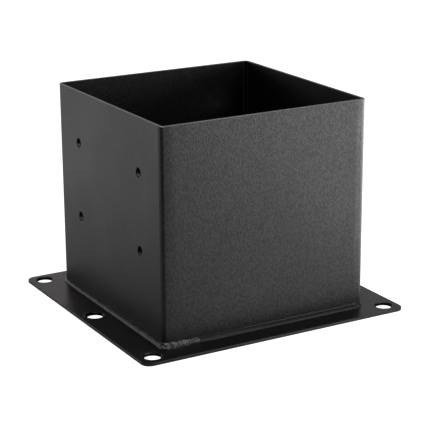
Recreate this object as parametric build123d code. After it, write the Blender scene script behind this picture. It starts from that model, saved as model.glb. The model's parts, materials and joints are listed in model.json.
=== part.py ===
from build123d import *
import math
import os

# Timber post base: a square sleeve folded from sheet, welded upright on a flat anchor plate.
# Origin: middle of the plate's upper face, where the post's end grain rests. +Z points up the post.
# -X and +X are the two drilled walls, -Y and +Y the two plain ones. All sizes are in millimetres.

# Post and sleeve
post_width = 139.7              # dressed width of the square timber post
post_gap = 1.15                 # clearance between post and sleeve, on each side
sleeve_wall = 2.0
sleeve_height = 138.0           # from the plate's upper face to the rim
bend_inner_radius = 2.0         # inside radius of the three upright folds
joint_outer_radius = 1.5        # dressed arris of the joint that closes the sleeve, at -X -Y
joint_inner_radius = 0.5        # root of that joint, inside
rim_round = 0.4                 # softened arris of the rim

# Screw holes in the -X and +X walls, two rows of two
screw_hole_diameter = 6.0
screw_column_spacing = 85.0
screw_row_spacing = 50.0
screw_rim_distance = 34.5       # upper row, measured down from the rim
screw_hole_bevel = 0.3          # at the outer mouths, where the tool went in

# Anchor plate
plate_thickness = 2.0
plate_corner_radius = 6.0
plate_edge_round = 0.4
anchor_hole_diameter = 11.0
anchor_hole_bevel = 0.35        # at the upper mouths, where the tool went in
anchor_edge_distance = 10.0     # hole centre to the nearest plate edges
side_hole_offset = 12.0         # hole centre to the face of the drilled walls
end_hole_offset = 7.0           # hole centre to the face of the plain walls

# Weld beads along the foot of the drilled walls, each carried round both of its corners
side_weld_leg = 2.5             # nominal leg, on the wall and on the plate
side_weld_bulge = 0.35          # how far the bead's face stands proud of a straight chamfer
side_weld_short_wrap = 6.0      # reach along a plain wall past the first corner
side_weld_long_wrap = 25.0      # reach along a plain wall past the last corner
side_weld_pitch = 4.0           # distance from one ripple to the next
side_weld_ripple_share = 0.06   # height of a ripple, as a share of the leg
side_weld_start_share = 0.78    # leg at the start of the pass, as a share of the nominal leg
side_weld_fold_share = 1.18     # leg at the last corner, where the pass slows down
side_weld_end_share = 0.85      # leg where the pass ends
side_weld_tip_share = 0.6       # how far the leg shrinks at either tip
side_weld_turn_steps = 3        # fewest lengths that a corner is divided into

# Thin seams that close the rest of the plain walls' feet
foot_seam_leg = 1.1
foot_seam_bulge = 0.15

# Every bead's section, before it is trimmed to the steel that it joins
weld_toe_share = 0.12           # upright step at each toe, as a share of the leg
weld_root = 1.0                 # reach of the section into the steel

# Sizes that follow from the ones above
inner_width = post_width + 2 * post_gap
outer_width = inner_width + 2 * sleeve_wall
outer_half = outer_width / 2
bend_outer_radius = bend_inner_radius + sleeve_wall
anchor_x = outer_half + side_hole_offset
anchor_y = outer_half + end_hole_offset
plate_length = 2 * (anchor_x + anchor_edge_distance)
plate_width = 2 * (anchor_y + anchor_edge_distance)
screw_top_height = sleeve_height - screw_rim_distance
screw_middle_height = screw_top_height - screw_row_spacing / 2


def hole_mouths(solid, radius):
    """The full circles of one radius, where holes of that size break through a flat face."""
    circles = solid.edges().filter_by(GeomType.CIRCLE)
    return circles.filter_by(lambda edge: edge.is_closed and abs(edge.radius - radius) < 1e-3)


def square_section(width, fold_radius, joint_radius):
    """A square with three soft corners, and a tighter one at -X -Y where the strip's ends are joined."""
    corners = Rectangle(width, width).vertices().sort_by(lambda corner: corner.X + corner.Y)
    square = fillet(corners[1:], fold_radius)
    joint = square.vertices().sort_by(lambda corner: corner.X + corner.Y)[0]
    return fillet(joint, joint_radius)


def make_sleeve():
    """One strip folded three times into a square tube and closed by a welded corner joint, dressed."""
    outline = square_section(outer_width, bend_outer_radius, joint_outer_radius)
    bore = square_section(inner_width, bend_inner_radius, joint_inner_radius)
    tube = extrude(outline - bore, amount=sleeve_height)
    tube = fillet(tube.faces().sort_by(Axis.Z)[-1].edges(), rim_round)

    drill_plane = Plane(origin=(0, 0, screw_middle_height), x_dir=(0, 1, 0), z_dir=(1, 0, 0))
    pattern = GridLocations(screw_column_spacing, screw_row_spacing, 2, 2)
    hole = Circle(screw_hole_diameter / 2)
    holes = drill_plane * (Sketch() + [place * hole for place in pattern])
    tube -= extrude(holes, amount=outer_width, both=True)
    mouths = hole_mouths(tube, screw_hole_diameter / 2).group_by(Axis.X)
    return chamfer(mouths[0] + mouths[-1], screw_hole_bevel)


def make_base_plate():
    """Flat plate with soft corners: four corner anchor holes and one midway along each drilled wall."""
    outline = RectangleRounded(plate_length, plate_width, plate_corner_radius)
    plate = extrude(outline, amount=-plate_thickness)
    rims = plate.faces().filter_by(Axis.Z).edges()
    plate = fillet(rims, plate_edge_round)

    corners = GridLocations(2 * anchor_x, 2 * anchor_y, 2, 2)
    middles = GridLocations(2 * anchor_x, 0, 2, 1)
    hole = Circle(anchor_hole_diameter / 2)
    holes = Sketch() + [place * hole for place in (*corners, *middles)]
    plate -= extrude(holes, amount=-plate_thickness)
    mouths = hole_mouths(plate, anchor_hole_diameter / 2).group_by(Axis.Z)
    return chamfer(mouths[-1], anchor_hole_bevel)


def bead_section(plane, leg, bulge):
    """Fillet-weld section on a plane whose X points off the wall and whose Y points up."""
    toe = leg * weld_toe_share
    middle = (leg + toe) / 2 + bulge / math.sqrt(2)
    face = ThreePointArc((leg, toe), (middle, middle), (toe, leg))
    root = (-weld_root, -weld_root)
    back = Polyline((toe, leg), (-weld_root, leg), root, (leg, -weld_root), (leg, toe))
    return plane * make_face([face, back])


def seated(bead):
    """Trims a bead to the wall's outer face and to the plate's upper face, so that it seats on both."""
    reach = 2 * outer_width
    outline = square_section(outer_width, bend_outer_radius, joint_outer_radius)
    tube = extrude(outline, amount=reach, both=True)
    ground = Pos(0, 0, -reach / 2) * Box(reach, reach, reach)
    return bead - tube - ground


def side_weld_leg_at(along, length, last_corner):
    """Leg of the side bead at a distance along the pass: thin start, full last corner, lean finish."""
    if along <= last_corner:
        rise = (along / last_corner) ** 2
        share = side_weld_start_share + (side_weld_fold_share - side_weld_start_share) * rise
    else:
        fall = (along - last_corner) / (length - last_corner)
        share = side_weld_fold_share + (side_weld_end_share - side_weld_fold_share) * fall
    return side_weld_leg * share


def side_weld(last_radius):
    """The rippled bead of the -X wall: one pass from the +Y wall round two corners to the -Y wall."""
    path = FilletPolyline(
        (side_weld_short_wrap - outer_half, outer_half),
        (-outer_half, outer_half),
        (-outer_half, -outer_half),
        (side_weld_long_wrap - outer_half, -outer_half),
        radius=(bend_outer_radius, last_radius),
    )
    length = path.length
    last_corner = length - side_weld_long_wrap
    stations = [0.0]
    for run in path.edges():
        start = stations[-1]
        fewest = side_weld_turn_steps if run.geom_type == GeomType.CIRCLE else 1
        steps = max(fewest, 2 * round(run.length / side_weld_pitch))
        stations += [start + run.length * (i + 1) / steps for i in range(steps)]

    sections = []
    for i, along in enumerate(stations):
        tangent = path.tangent_at(along / length)
        outward = Vector(tangent.Y, -tangent.X, 0)
        plane = Plane(origin=path.position_at(along / length), x_dir=outward, z_dir=-tangent)
        crest = 1 + side_weld_ripple_share * (-1) ** i / 2
        tip = side_weld_tip_share if i in (0, len(stations) - 1) else 1
        leg = side_weld_leg_at(along, length, last_corner) * crest * tip
        bulge = side_weld_bulge * leg / side_weld_leg
        sections.append(bead_section(plane, leg, bulge))
    return loft(sections, ruled=True)


def make_side_welds():
    """Both beads: the -X wall's ends past the joint, the +X wall's, half a turn on, past a fold."""
    left = seated(side_weld(joint_outer_radius))
    right = seated(Rot(0, 0, 180) * side_weld(bend_outer_radius))
    return Compound(children=[left, right])


def make_foot_seam():
    """The thin seam on the -Y wall, between the ends of the two side beads."""
    start = Plane(
        origin=(side_weld_long_wrap - outer_half, -outer_half, 0),
        x_dir=(0, -1, 0),
        z_dir=(-1, 0, 0),
    )
    section = bead_section(start, foot_seam_leg, foot_seam_bulge)
    run = outer_width - side_weld_long_wrap - side_weld_short_wrap
    return seated(extrude(section, amount=run, dir=(1, 0, 0)))


def pair(solid):
    """A solid and its copy turned half a turn about the post's axis."""
    return Compound(children=[solid, Rot(0, 0, 180) * solid])


parts = {
    "sleeve": make_sleeve(),
    "base_plate": make_base_plate(),
    "side_welds": make_side_welds(),
    "foot_seams": pair(make_foot_seam()),
}

os.makedirs("parts", exist_ok=True)
for node, shape in parts.items():
    export_step(shape, f"parts/{node}.step")
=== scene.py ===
import json
import math

import bmesh
import bpy
from mathutils import Matrix, Vector, noise


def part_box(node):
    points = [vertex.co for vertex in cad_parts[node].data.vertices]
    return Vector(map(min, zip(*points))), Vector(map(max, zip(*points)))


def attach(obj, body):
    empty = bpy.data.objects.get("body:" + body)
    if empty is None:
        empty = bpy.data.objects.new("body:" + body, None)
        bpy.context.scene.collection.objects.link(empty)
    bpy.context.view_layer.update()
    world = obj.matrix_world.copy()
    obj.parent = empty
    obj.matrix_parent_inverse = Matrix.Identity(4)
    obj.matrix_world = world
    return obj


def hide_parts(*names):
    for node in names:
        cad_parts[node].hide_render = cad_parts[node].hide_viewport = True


# A black powder-coated timber post base on a pale floor. Everything is in metres, +Z up,
# with the origin at the middle of the plate's upper face.

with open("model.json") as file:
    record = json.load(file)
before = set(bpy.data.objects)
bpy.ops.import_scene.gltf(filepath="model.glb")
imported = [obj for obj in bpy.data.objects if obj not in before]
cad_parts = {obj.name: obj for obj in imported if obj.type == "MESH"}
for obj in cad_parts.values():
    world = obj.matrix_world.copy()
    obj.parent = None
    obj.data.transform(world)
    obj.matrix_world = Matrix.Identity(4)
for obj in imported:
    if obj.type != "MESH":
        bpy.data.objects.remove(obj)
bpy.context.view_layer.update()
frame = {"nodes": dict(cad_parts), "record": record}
nodes = frame["nodes"]

MM = 0.001

# The photograph's view: angles in degrees, and the point in the middle of the image
CAMERA_AZIMUTH = -29.74
CAMERA_ELEVATION = 17.0
CAMERA_ROLL = -0.37
CAMERA_DISTANCE = 1005.6 * MM
CAMERA_AIM = Vector((10.86, 11.23, 49.44)) * MM
CAMERA_LENS = 125.6

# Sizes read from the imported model
SLEEVE_LOW, SLEEVE_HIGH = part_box("sleeve")
PLATE_LOW, PLATE_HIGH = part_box("base_plate")
HALF = SLEEVE_HIGH.x
RIM = SLEEVE_HIGH.z
FLOOR = PLATE_LOW.z
WALL = PLATE_HIGH.z - PLATE_LOW.z       # sheet and plate are equally thick
anchors = [mount["dims"] for mount in frame["record"]["mounts"] if mount["name"] == "anchor_bolts"][0]
ANCHOR_X = anchors["spacing_x_mm"] / 2 * MM
ANCHOR_Y = anchors["spacing_y_mm"] / 2 * MM
ANCHOR_RADIUS = anchors["hole_r_mm"] * MM
FOLD_RADIUS = 4.0 * MM
JOINT_RADIUS = 1.5 * MM         # arris of the joint that closes the sleeve, at -X -Y
JOINT_STRIP = 4.2 * MM          # strip of the -X wall that was dressed along that joint
JOINT_SLOPE = 0.26
JOINT_CURL = 0.05 / MM          # how fast the strip turns on towards the arris
JOINT_EASE = 10.0 * MM          # the -Y wall's own, softer strip
JOINT_EASE_CURL = 0.018 / MM
LIP_HEIGHT = 0.16 * MM          # lip round each anchor hole
LIP_OFFSET = 1.3 * MM
LIP_WIDTH = 0.8 * MM
EASE_START = 8.0 * MM           # where the plain walls begin to ease into their right-hand folds
EASE_END = 2.5 * MM
EASE_DROP = 0.5 * MM

# Weld beads
ROOT = 0.15 * MM                # how far a bead's root is sunk in the steel
SIDE_LEG = 2.5 * MM
SIDE_SHORT_WRAP = 6.0 * MM
SIDE_LONG_WRAP = 25.0 * MM
START_SHARE = 0.78
WRAP_RISE = 0.12                # how much further the wrapped ends climb the wall
TIP_SHARE = 0.45                # of the size at the start of the pass, and how soon it is full
TIP_REACH = 14.0 * MM
FOLD_SHARE = 1.18
END_SHARE = 0.85
BULGE = 0.48 * MM
BLOB = 0.34                     # unevenness of the wrapped ends, as a share of the bulge
RIPPLE = 0.14 * MM
RIPPLE_PITCH = 1.7 * MM
CRESCENT = 0.8 * MM
SEAM_OUT = 2.2 * MM             # legs of the thin seam, on the plate and on the wall
SEAM_UP = 0.80 * MM
SEAM_BULGE = 0.10 * MM
SEAM_HEIGHT = 2.6 * MM          # of the seam with the faint ridge above it
SEAM_RIDGE = 0.36 * MM
SPECK = 0.45 * MM               # two specks of spatter on the ridge
SPECK_WIDTH = 0.9 * MM
SPECK_PLACES = (0.865, 0.978)   # as shares of the seam's run
# Uneven spots where the pass was slowed and ended: distance past the last fold, width, height
LUMPS = (
    (1.2 * MM, 1.0 * MM, 0.08),
    (3.4 * MM, 1.0 * MM, -0.06),
    (6.0 * MM, 1.6 * MM, 0.10),
    (8.6 * MM, 1.1 * MM, -0.12),
    (13.5 * MM, 2.2 * MM, 0.10),
    (18.0 * MM, 1.8 * MM, -0.06),
    (24.0 * MM, 2.2 * MM, 0.18),
)


class Nodes:
    """A small helper that adds shader nodes to one tree and wires them."""

    def __init__(self, tree):
        self.tree = tree
        tree.nodes.clear()

    def add(self, kind, values=None, **settings):
        node = self.tree.nodes.new(kind)
        for key, value in settings.items():
            setattr(node, key, value)
        for key, value in (values or {}).items():
            socket = node.inputs[key]
            if isinstance(value, bpy.types.NodeSocket):
                self.tree.links.new(value, socket)
            else:
                socket.default_value = value
        return node

    def link(self, value, socket):
        self.tree.links.new(value, socket)

    def math(self, operation, a, b=0.0):
        return self.add("ShaderNodeMath", {0: a, 1: b}, operation=operation).outputs[0]

    def ramp(self, value, low, high, start=0.0, end=1.0):
        """Smooth step of a value from low to high, mapped to start..end."""
        node = self.add(
            "ShaderNodeMapRange",
            {"Value": value, "From Min": low, "From Max": high, "To Min": start, "To Max": end},
            interpolation_type="SMOOTHSTEP",
        )
        return node.outputs["Result"]

    def noise(self, vector, scale, detail=2.0, rough=0.5):
        values = {"Vector": vector, "Scale": scale, "Detail": detail, "Roughness": rough}
        return self.add("ShaderNodeTexNoise", values).outputs["Fac"]

    def mix(self, share, a, b):
        node = self.add("ShaderNodeMix", {"Factor": share}, data_type="RGBA")
        for socket, value in (("A", a), ("B", b)):
            target = [s for s in node.inputs if s.name == socket and s.type == "RGBA"][0]
            if isinstance(value, bpy.types.NodeSocket):
                self.tree.links.new(value, target)
            else:
                target.default_value = (*value, 1.0)
        return [s for s in node.outputs if s.type == "RGBA"][0]


def powder_coat(name, tint, roughness, peel_height, peel_size, sparkle=0.0):
    """Satin black powder coat: near-black, with an orange-peel grain and slow changes of gloss."""
    material = bpy.data.materials.new(name)
    material.use_nodes = True
    n = Nodes(material.node_tree)
    place = n.add("ShaderNodeTexCoord").outputs["Object"]

    patches = n.noise(place, 1 / (45 * MM), 3.0, 0.5)
    specks = n.noise(place, 1 / (0.9 * MM), 2.0, 0.6)
    colour = n.mix(n.ramp(specks, 0.35, 0.75), [c * 0.75 for c in tint], [c * 1.35 for c in tint])
    gloss = n.ramp(patches, 0.3, 0.7, roughness - 0.03, roughness + 0.03)
    height = n.math("MULTIPLY", n.noise(place, 1 / peel_size, 3.0, 0.55), peel_height)
    grain = n.add("ShaderNodeBump", {"Height": height, "Distance": 1.0})
    sheen = 0.5
    if sparkle:
        sheen = n.ramp(n.noise(place, 1 / (1.5 * MM), 1.0, 0.5), 0.3, 0.7, 0.5 - sparkle, 0.5 + sparkle)
    shader = n.add(
        "ShaderNodeBsdfPrincipled",
        {
            "Base Color": colour,
            "Roughness": gloss,
            "Specular IOR Level": sheen,
            "Normal": grain.outputs["Normal"],
            "IOR": 1.5,
        },
    )
    n.add("ShaderNodeOutputMaterial", {"Surface": shader.outputs[0]})
    parts = {
        "place": place,
        "colour": colour,
        "height": height,
        "grain": grain,
        "sheen": sheen,
        "shader": shader,
    }
    return material, n, parts


def dress_sleeve(n, parts):
    """Adds what only the folded sleeve shows.

    The plain walls ease into their right-hand folds, and a strip of the -X wall is dressed along
    the closing joint. Thin light lines, painted highlights, bound each fold inside, and the outer
    arris along the top is painted lighter as a highlight, brightest at the joint's corner. The
    drilled walls are smoother than the plain ones.
    """
    axes = n.add("ShaderNodeSeparateXYZ", {0: parts["place"]})
    x, y = axes.outputs["X"], axes.outputs["Y"]
    wide, deep = n.math("ABSOLUTE", x), n.math("ABSOLUTE", y)
    along, off = n.math("MINIMUM", wide, deep), n.math("MAXIMUM", wide, deep)
    plain = n.math("GREATER_THAN", deep, wide)

    opposite = n.math("LESS_THAN", n.math("MULTIPLY", x, y), 0.0)
    ease = n.ramp(along, HALF - EASE_START, HALF - EASE_END, 0.0, -EASE_DROP)
    ease = n.math("MULTIPLY", ease, n.math("MULTIPLY", opposite, plain))
    on_left = n.math("LESS_THAN", x, 0.3 * MM - HALF)
    on_front = n.math("LESS_THAN", y, 0.3 * MM - HALF)
    left = strip_drop(n, y, JOINT_STRIP, JOINT_SLOPE, JOINT_CURL)
    front = strip_drop(n, x, JOINT_EASE, 0.0, JOINT_EASE_CURL)
    strip = n.math("ADD", n.math("MULTIPLY", left, on_left), n.math("MULTIPLY", front, on_front))
    peel = n.math("MULTIPLY", parts["height"], n.ramp(plain, 0.0, 1.0, 0.45, 1.0))
    n.link(n.math("ADD", n.math("ADD", peel, ease), strip), parts["grain"].inputs["Height"])

    even = n.math("MULTIPLY", n.math("SUBTRACT", parts["sheen"], 0.5), n.ramp(plain, 0.0, 1.0, 0.35, 1.0))
    n.link(n.math("ADD", even, 0.5), parts["shader"].inputs["Specular IOR Level"])

    inner = HALF - WALL
    inside = n.math("LESS_THAN", off, inner + 0.3 * MM)
    # Painted highlight: a thin light line along each fold's inside tangent
    fold_highlight = bump_node(n, along, inner - 2.0 * MM, 0.35 * MM)
    colour = n.mix(n.math("MULTIPLY", fold_highlight, inside), parts["colour"], (0.10, 0.10, 0.10))
    # Painted highlight: the outer arris along the top is painted lighter
    outer = n.math("GREATER_THAN", off, HALF - 1.1 * MM)
    rim_highlight = n.ramp(axes.outputs["Z"], RIM - 0.40 * MM, RIM - 0.15 * MM)
    rim_highlight = n.math("MULTIPLY", rim_highlight, outer)
    colour = n.mix(rim_highlight, colour, (0.14, 0.14, 0.14))
    # Painted highlight: a brighter dot where the joint's corner meets the top
    tip = n.ramp(n.math("ADD", x, y), 3.6 * MM - 2 * HALF, 1.4 * MM - 2 * HALF)
    colour = n.mix(n.math("MULTIPLY", rim_highlight, tip), colour, (0.40, 0.40, 0.40))
    n.link(colour, parts["shader"].inputs["Base Color"])


def dress_weld(n, parts):
    """The long wrapped ends of the beads are painted greyer, in uneven patches and more so higher up: a painted
    highlight.
    """
    axes = n.add("ShaderNodeSeparateXYZ", {0: parts["place"]})
    deep = n.math("ABSOLUTE", axes.outputs["Y"])
    last = n.math("GREATER_THAN", n.math("MULTIPLY", axes.outputs["X"], axes.outputs["Y"]), 0.0)
    # Painted highlight on the wrapped ends, growing with height
    wrapped = n.math("MULTIPLY", n.ramp(deep, HALF - 0.6 * MM, HALF + 0.2 * MM), last)
    raised = n.ramp(axes.outputs["Z"], 0.3 * MM, 1.6 * MM, 0.3, 1.0)
    patches = n.ramp(n.noise(parts["place"], 1 / (1.6 * MM)), 0.35, 0.65, 0.25, 1.0)
    share = n.math("MULTIPLY", n.math("MULTIPLY", wrapped, raised), patches)
    colour = n.mix(share, parts["colour"], (0.16, 0.16, 0.16))
    n.link(colour, parts["shader"].inputs["Base Color"])


def strip_drop(n, place, width, slope, curl):
    """Height lost within a width of the joint: a slope that starts at once and grows steadily."""
    reach = n.math("MAXIMUM", n.math("SUBTRACT", width - HALF, place), 0.0)
    straight = n.math("MULTIPLY", reach, -slope)
    curled = n.math("MULTIPLY", n.math("MULTIPLY", reach, reach), -curl / 2)
    return n.math("ADD", straight, curled)


def dress_plate(n, parts):
    """Adds the faint lip round each anchor hole, and a painted highlight on the upper arrises of the plate's ends.
    """
    axes = n.add("ShaderNodeSeparateXYZ", {0: parts["place"]})
    wide = n.math("ABSOLUTE", axes.outputs["X"])
    deep = n.math("ABSOLUTE", axes.outputs["Y"])
    from_x = n.math("SUBTRACT", wide, ANCHOR_X)
    from_y = n.math("MINIMUM", deep, n.math("ABSOLUTE", n.math("SUBTRACT", deep, ANCHOR_Y)))
    squares = n.math("ADD", n.math("MULTIPLY", from_x, from_x), n.math("MULTIPLY", from_y, from_y))
    lip = bump_node(n, n.math("SQRT", squares), ANCHOR_RADIUS + LIP_OFFSET, LIP_WIDTH)
    height = n.math("ADD", parts["height"], n.math("MULTIPLY", lip, LIP_HEIGHT))
    n.link(height, parts["grain"].inputs["Height"])

    # Painted highlight: the upper arrises of the plate's ends are painted lighter
    end = n.ramp(wide, PLATE_HIGH.x - 0.35 * MM, PLATE_HIGH.x - 0.10 * MM)
    upper = n.ramp(axes.outputs["Z"], -0.50 * MM, -0.25 * MM)
    colour = n.mix(n.math("MULTIPLY", end, upper), parts["colour"], (0.09, 0.09, 0.09))
    n.link(colour, parts["shader"].inputs["Base Color"])


def bump_node(n, value, centre, width):
    """1 where a value is at the centre, falling to 0 a width away."""
    away = n.math("ABSOLUTE", n.math("SUBTRACT", value, centre))
    return n.ramp(away, 0.0, width, 1.0, 0.0)


def coat_node(node, material):
    """Gives a CAD node a better material in its own slots."""
    for slot in nodes[node].material_slots:
        slot.material = material


def smooth_noise(along, across, seed):
    """Gentle, repeatable unevenness from -1 to 1, for two distances in noise cells."""
    return noise.noise(Vector((along, across, seed * 17.3)))


def foot_path(short_wrap, long_wrap, last_radius):
    """The way round the -X wall's foot: from the +Y wall, round two corners, to the -Y wall.

    Gives a function of the distance along it, which returns the point on the sleeve's face and
    the direction off that face, then where the last corner begins, and the whole length.
    """
    first = short_wrap - FOLD_RADIUS
    fold_arc = math.pi / 2 * FOLD_RADIUS
    flat = 2 * HALF - FOLD_RADIUS - last_radius
    last_arc = math.pi / 2 * last_radius
    last_corner = first + fold_arc + flat
    fold_centre = Vector((FOLD_RADIUS - HALF, HALF - FOLD_RADIUS, 0))
    last_centre = Vector((last_radius - HALF, last_radius - HALF, 0))

    def round_corner(centre, radius, turn):
        off = Vector((math.cos(turn), math.sin(turn), 0))
        return centre + off * radius, off

    def at(s):
        if s < first:
            return Vector((fold_centre.x + first - s, HALF, 0)), Vector((0, 1, 0))
        s -= first
        if s < fold_arc:
            return round_corner(fold_centre, FOLD_RADIUS, math.pi / 2 + s / FOLD_RADIUS)
        s -= fold_arc
        if s < flat:
            return Vector((-HALF, fold_centre.y - s, 0)), Vector((-1, 0, 0))
        s -= flat
        if s < last_arc:
            return round_corner(last_centre, last_radius, math.pi + s / last_radius)
        return Vector((last_centre.x + s - last_arc, -HALF, 0)), Vector((0, -1, 0))

    return at, last_corner, last_corner + last_arc + long_wrap - last_radius


def bead_mesh(name, at, length, profile, step, across, turned=False):
    """Sweeps a weld section along a path and closes it, with its root sunk a little in the steel.

    profile(s, u) gives how far off the wall and how high the face is at distance s, from the
    plate's toe (u = 0) to the wall's toe (u = 1).
    """
    stations = round(length / step)
    spin = Matrix.Rotation(math.pi if turned else 0.0, 3, "Z")
    bm = bmesh.new()
    rings = []
    for i in range(stations + 1):
        s = length * i / stations
        foot, off = at(min(s, length))
        section = [profile(s, j / across) for j in range(across + 1)]
        out_toe, up_toe = section[0][0], section[-1][1]
        section = [(out_toe, -ROOT)] + section + [(-ROOT, up_toe), (-ROOT, -ROOT)]
        places = [foot + off * out + Vector((0, 0, up)) for out, up in section]
        rings.append([bm.verts.new(spin @ place) for place in places])
    for a, b in zip(rings, rings[1:]):
        for j in range(len(a)):
            k = (j + 1) % len(a)
            bm.faces.new((a[j], b[j], b[k], a[k]))
    bm.faces.new(rings[0])
    bm.faces.new(tuple(reversed(rings[-1])))
    bmesh.ops.recalc_face_normals(bm, faces=bm.faces)
    for face in bm.faces:
        face.smooth = True
    mesh = bpy.data.meshes.new(name)
    bm.to_mesh(mesh)
    bm.free()
    return mesh


def bump(x, centre, width):
    """A round bump of height 1."""
    return math.exp(-((x - centre) / width) ** 2)


def tip_share(along, reach):
    """How a bead swells from nothing at its tip to its full size a short reach away."""
    return math.sqrt(min(1.0, max(0.02, along / reach)))


def side_weld_profile(last_corner, length, seed):
    """Section of the side bead: a coated, rippled fillet, lumpier past the last corner."""

    def profile(s, u):
        wrapped = s - last_corner
        if wrapped < 0:
            share = START_SHARE + (FOLD_SHARE - START_SHARE) * (s / last_corner) ** 2
        else:
            share = FOLD_SHARE + (END_SHARE - FOLD_SHARE) * wrapped / (length - last_corner)
        share *= TIP_SHARE + (1 - TIP_SHARE) * min(1.0, s / TIP_REACH)
        share *= 1 + 0.07 * smooth_noise(s / (7 * MM), 0, seed)
        share += sum(height * bump(wrapped, centre, width) for centre, width, height in LUMPS)
        share *= tip_share(s, 2.5 * MM) * tip_share(length - s, 2.5 * MM)
        leg = SIDE_LEG * share
        out_leg = leg * (1 + 0.06 * smooth_noise(s / (5 * MM), 3, seed))
        up_leg = leg * (1 + 0.06 * smooth_noise(s / (5 * MM), 7, seed))

        wrapping = min(1.0, max(0.0, wrapped / (2 * MM) + 1))
        up_leg *= 1 + WRAP_RISE * wrapping
        uneven = 1 + wrapping * BLOB * 4 * smooth_noise(s / (1.0 * MM), 3.5 * u, seed)
        rise = BULGE * 4 * u * (1 - u) * share * uneven
        lag = CRESCENT * 4 * (u - 0.5) ** 2
        phase = (s + lag) / RIPPLE_PITCH + 0.35 * smooth_noise(s / (6 * MM), 11, seed)
        crest = 0.5 + 0.5 * math.cos(2 * math.pi * phase)
        middle = min(1, 5 * u, 5 * (1 - u))
        rise += RIPPLE * (1 - 0.9 * wrapping) * crest ** 1.5 * middle * share
        push = rise / math.sqrt(2)
        return out_leg * (1 - u) + push, up_leg * u + push

    return profile


def foot_seam_profile(run, seed):
    """Section of the thin seam between the side beads, with a faint ridge on the wall above it.

    The first part of u is the fillet, and the rest climbs the wall to the ridge and over it. The
    ridge comes up along the seam's right-hand half.
    """
    fillet = 0.55

    def profile(s, u):
        share = 1 + 0.12 * smooth_noise(s / (9 * MM), 0, seed) + 0.08 * smooth_noise(s / (1.5 * MM), 0, seed)
        out_leg, up_leg = SEAM_OUT * share, SEAM_UP * share
        strength = min(1.0, max(0.0, (s / run - 0.25) / 0.2))
        if u <= fillet:
            v = u / fillet
            push = SEAM_BULGE * 4 * v * (1 - v) / math.sqrt(2)
            return out_leg * (1 - v) + push + 0.05 * MM, up_leg * v + push
        v = (u - fillet) / (1 - fillet)
        up = up_leg + (SEAM_HEIGHT * share - up_leg) * v
        uneven = 1 + 0.7 * smooth_noise(s / (2.2 * MM), 5, seed)
        ridge = SEAM_RIDGE * strength * uneven * bump(v, 0.62, 0.28)
        ridge += SPECK * sum(bump(s, place * run, SPECK_WIDTH) for place in SPECK_PLACES) * bump(v, 0.40, 0.25)
        return 0.05 * MM * (1 - v) + ridge * min(1, 4 * (1 - v)), up

    return profile


def weld_piece(name, meshes, node, material):
    """One object for both copies of a bead, in place of its CAD node."""
    bm = bmesh.new()
    for mesh in meshes:
        bm.from_mesh(mesh)
        bpy.data.meshes.remove(mesh)
    mesh = bpy.data.meshes.new(name)
    bm.to_mesh(mesh)
    bm.free()
    piece = bpy.data.objects.new(name, mesh)
    bpy.context.scene.collection.objects.link(piece)
    mesh.materials.append(material)
    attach(piece, "root")
    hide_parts(node)
    return piece


def make_welds(bead_material, seam_material):
    beads = []
    for seed, last_radius, turned in ((1, JOINT_RADIUS, False), (2, FOLD_RADIUS, True)):
        at, last_corner, length = foot_path(SIDE_SHORT_WRAP, SIDE_LONG_WRAP, last_radius)
        profile = side_weld_profile(last_corner, length, seed)
        beads.append(bead_mesh("bead", at, length, profile, 0.3 * MM, 18, turned))
    weld_piece("side_weld_beads", beads, "side_welds", bead_material)

    start = SIDE_LONG_WRAP - HALF - 1.5 * MM
    run = 2 * HALF - SIDE_LONG_WRAP - SIDE_SHORT_WRAP + 3 * MM

    def seam_at(s):
        return Vector((start + s, -HALF, 0)), Vector((0, -1, 0))

    seams = [
        bead_mesh("seam", seam_at, run, foot_seam_profile(run, seed), 0.5 * MM, 20, turned)
        for seed, turned in ((3, False), (4, True))
    ]
    weld_piece("foot_seam_beads", seams, "foot_seams", seam_material)


def panel(name, centre, aim, size, strength):
    """A large soft light, seen only in reflections and by what it lights."""
    lamp = bpy.data.lights.new(name, "AREA")
    lamp.shape = "RECTANGLE"
    lamp.size, lamp.size_y = size
    lamp.energy = strength * size[0] * size[1] * math.pi
    light = bpy.data.objects.new(name, lamp)
    bpy.context.scene.collection.objects.link(light)
    light.location = centre
    light.rotation_euler = (Vector(aim) - Vector(centre)).to_track_quat("-Z", "Y").to_euler()
    light.visible_camera = False
    return light


def facing(n, direction, axis, power):
    """How far a direction faces an axis, from 0 to 1, raised to a power."""
    unit = Vector(axis).normalized()
    dot = n.add("ShaderNodeVectorMath", {0: direction, 1: unit}, operation="DOT_PRODUCT")
    return n.math("POWER", n.math("MAXIMUM", dot.outputs["Value"], 0.0), power)


def total(n, terms):
    """Sum of weighted terms: (weight, socket)."""
    level = terms[0]
    for weight, value in terms[1:]:
        level = n.math("ADD", level, n.math("MULTIPLY", value, weight))
    return level


def make_world():
    """Dim surroundings, brighter to the right and behind, dark on the camera's side."""
    world = bpy.data.worlds.new("studio")
    bpy.context.scene.world = world
    world.use_nodes = True
    n = Nodes(world.node_tree)
    direction = n.add("ShaderNodeTexCoord").outputs["Generated"]
    height = n.add("ShaderNodeSeparateXYZ", {0: direction}).outputs["Z"]

    def band(centre, width, azimuth, power):
        """Light from one side, between two heights above the horizon."""
        return n.math("MULTIPLY", bump_node(n, height, centre, width), facing(n, direction, polar(azimuth), power))

    level = total(n, [
        0.03,
        (1.22, band(0.26, 0.26, 80, 4.0)),
        (0.45, band(0.42, 0.30, 112, 10.0)),
        (2.00, band(0.12, 0.16, 128, 6.0)),
        (3.00, band(0.08, 0.20, -45, 6.0)),
    ])
    warmth = facing(n, direction, polar(78), 20.0)
    tone = n.mix(warmth, (1.0, 1.0, 1.0), (1.16, 0.98, 0.97))
    surface = n.add("ShaderNodeBackground", {"Color": tone, "Strength": level})
    n.add("ShaderNodeOutputWorld", {"Surface": surface.outputs[0]})


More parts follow.
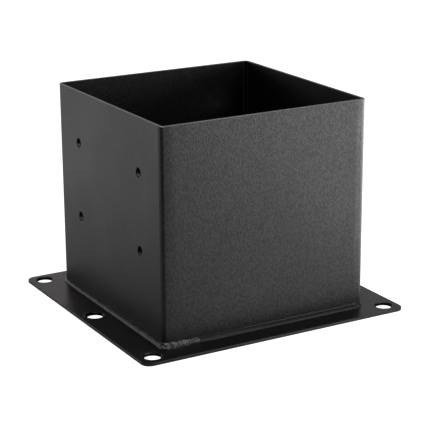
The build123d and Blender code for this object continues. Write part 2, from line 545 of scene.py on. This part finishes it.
def square(name, half, height):
    mesh = bpy.data.meshes.new(name)
    corners = [(-half, -half, height), (half, -half, height), (half, half, height), (-half, half, height)]
    mesh.from_pydata(corners, [], [(0, 1, 2, 3)])
    thing = bpy.data.objects.new(name, mesh)
    bpy.context.scene.collection.objects.link(thing)
    return thing


def make_floor():
    """Pale studio floor, as the camera sees it from above. From beneath it is clear."""
    floor = square("floor", 6.0, FLOOR)
    material = bpy.data.materials.new("floor")
    material.use_nodes = True
    n = Nodes(material.node_tree)
    shader = n.add(
        "ShaderNodeBsdfPrincipled",
        {
            "Base Color": (0.5, 0.5, 0.5, 1),
            "Roughness": 1.0,
            "Specular IOR Level": 0.0,
            "Emission Color": (1, 1, 1, 1),
            "Emission Strength": 1.0,
        },
    )
    clear = n.add("ShaderNodeBsdfTransparent")
    beneath = n.add("ShaderNodeNewGeometry").outputs["Backfacing"]
    surface = n.add("ShaderNodeMixShader", {0: beneath, 1: shader.outputs[0], 2: clear.outputs[0]})
    n.add("ShaderNodeOutputMaterial", {"Surface": surface.outputs[0]})
    floor.data.materials.append(material)
    floor.visible_glossy = False
    floor.visible_diffuse = False
    floor.visible_shadow = False


def make_backdrop():
    """Pale surroundings above the floor, as the camera alone sees them."""
    bm = bmesh.new()
    bmesh.ops.create_uvsphere(bm, u_segments=48, v_segments=24, radius=5.0)
    mesh = bpy.data.meshes.new("backdrop")
    bm.to_mesh(mesh)
    bm.free()
    backdrop = bpy.data.objects.new("backdrop", mesh)
    bpy.context.scene.collection.objects.link(backdrop)
    material = bpy.data.materials.new("backdrop")
    material.use_nodes = True
    n = Nodes(material.node_tree)
    shader = n.add("ShaderNodeEmission", {"Color": (1, 1, 1, 1), "Strength": 1.0})
    n.add("ShaderNodeOutputMaterial", {"Surface": shader.outputs[0]})
    mesh.materials.append(material)
    backdrop.visible_glossy = False
    backdrop.visible_diffuse = False
    backdrop.visible_transmission = False
    backdrop.visible_shadow = False


def make_bounce():
    """The lit floor as the coat reflects it: bright to the right and behind, dark near the camera.

    It leaves out the ground under the plate.
    """
    mesh = bpy.data.meshes.new("bounce")
    far = 3.0
    near_x, near_y = PLATE_HIGH.x + 1 * MM, PLATE_HIGH.y + 1 * MM
    corners = [(-1, -1), (1, -1), (1, 1), (-1, 1)]
    outer = [(far * x, far * y, FLOOR - 0.5 * MM) for x, y in corners]
    inner = [(near_x * x, near_y * y, FLOOR - 0.5 * MM) for x, y in corners]
    quads = [(i, (i + 1) % 4, 4 + (i + 1) % 4, 4 + i) for i in range(4)]
    mesh.from_pydata(outer + inner, [], quads)
    card = bpy.data.objects.new("bounce", mesh)
    bpy.context.scene.collection.objects.link(card)

    material = bpy.data.materials.new("bounce")
    material.use_nodes = True
    n = Nodes(material.node_tree)
    place = n.add("ShaderNodeNewGeometry").outputs["Position"]
    direction = n.add("ShaderNodeVectorMath", {0: place}, operation="NORMALIZE").outputs[0]
    distance = n.add("ShaderNodeVectorMath", {0: place}, operation="LENGTH").outputs["Value"]
    away = n.ramp(distance, 0.36, 0.60, 0.94, 1.60)
    beyond = n.ramp(distance, 0.30, 0.50)
    far_light = total(n, [
        0.04,
        (2.50, n.math("MULTIPLY", facing(n, direction, polar(-46), 12.0), away)),
        (2.6, facing(n, direction, polar(-34), 60.0)),
        (9.0, facing(n, direction, polar(-8), 50.0)),
        (0.26, n.ramp(facing(n, direction, polar(-60), 1.0), 0.42, 0.64)),
        (0.66, n.ramp(facing(n, direction, polar(112), 1.0), 0.42, 0.93)),
        (0.30, facing(n, direction, polar(40), 1.0)),
        (1.30, facing(n, direction, polar(52), 6.0)),
        (0.95, n.math("MULTIPLY", facing(n, direction, polar(165), 10.0), beyond)),
    ])
    near_light = total(n, [
        0.12,
        (1.00, facing(n, direction, polar(-60), 1.0)),
        (0.20, facing(n, direction, polar(135), 1.0)),
        (0.20, n.math("MULTIPLY", facing(n, direction, polar(172), 4.0), n.ramp(distance, 0.10, 0.16))),
    ])
    share = n.ramp(distance, 0.10, 0.42)
    level = n.math("ADD", n.math("MULTIPLY", far_light, share),
                   n.math("MULTIPLY", near_light, n.math("SUBTRACT", 1.0, share)))
    shader = n.add("ShaderNodeEmission", {"Color": (1, 1, 1, 1), "Strength": level})
    n.add("ShaderNodeOutputMaterial", {"Surface": shader.outputs[0]})
    mesh.materials.append(material)
    card.visible_camera = False
    card.visible_shadow = False


def polar(degrees):
    """A level direction, by its angle from +X."""
    return (math.cos(math.radians(degrees)), math.sin(math.radians(degrees)), 0.0)


def make_camera():
    azimuth, elevation = math.radians(CAMERA_AZIMUTH), math.radians(CAMERA_ELEVATION)
    back = Vector((
        math.sin(azimuth) * math.cos(elevation),
        -math.cos(azimuth) * math.cos(elevation),
        math.sin(elevation),
    ))
    data = bpy.data.cameras.new("camera")
    data.sensor_width = 36.0
    data.lens = CAMERA_LENS
    data.clip_start, data.clip_end = 0.05, 50.0
    camera = bpy.data.objects.new("camera", data)
    bpy.context.scene.collection.objects.link(camera)
    turn = (-back).to_track_quat("-Z", "Y").to_matrix().to_4x4()
    roll = Matrix.Rotation(math.radians(CAMERA_ROLL), 4, "Z")
    camera.matrix_world = Matrix.Translation(CAMERA_AIM + back * CAMERA_DISTANCE) @ turn @ roll
    bpy.context.scene.camera = camera


sleeve_coat, sleeve_nodes, sleeve_parts = powder_coat("sleeve_coat", (0.006, 0.006, 0.006), 0.42, 0.22 * MM, 1.0 * MM, 0.09)
dress_sleeve(sleeve_nodes, sleeve_parts)
plate_coat, plate_nodes, plate_parts = powder_coat("plate_coat", (0.0028, 0.0025, 0.0024), 0.36, 0.03 * MM, 1.0 * MM)
dress_plate(plate_nodes, plate_parts)
weld_coat, weld_nodes, weld_parts = powder_coat("weld_coat", (0.009, 0.009, 0.009), 0.34, 0.01 * MM, 0.6 * MM)
dress_weld(weld_nodes, weld_parts)
seam_coat = powder_coat("seam_coat", (0.020, 0.020, 0.020), 0.50, 0.02 * MM, 0.9 * MM)[0]
coat_node("sleeve", sleeve_coat)
coat_node("base_plate", plate_coat)
make_welds(weld_coat, seam_coat)

make_world()
make_floor()
make_backdrop()
make_bounce()
panel("overhead", (-0.05, -0.05, 0.95), (0, 0, 0), (0.9, 0.9), 1.0)
panel("right_high", (0.50, -0.34, 0.79), (0, 0, 0), (0.6, 0.5), 3.2)
panel("back_right", (0.46, 0.38, 0.80), (0, 0, 0), (0.4, 0.4), 1.2)
make_camera()

bpy.context.scene.view_settings.view_transform = "Standard"
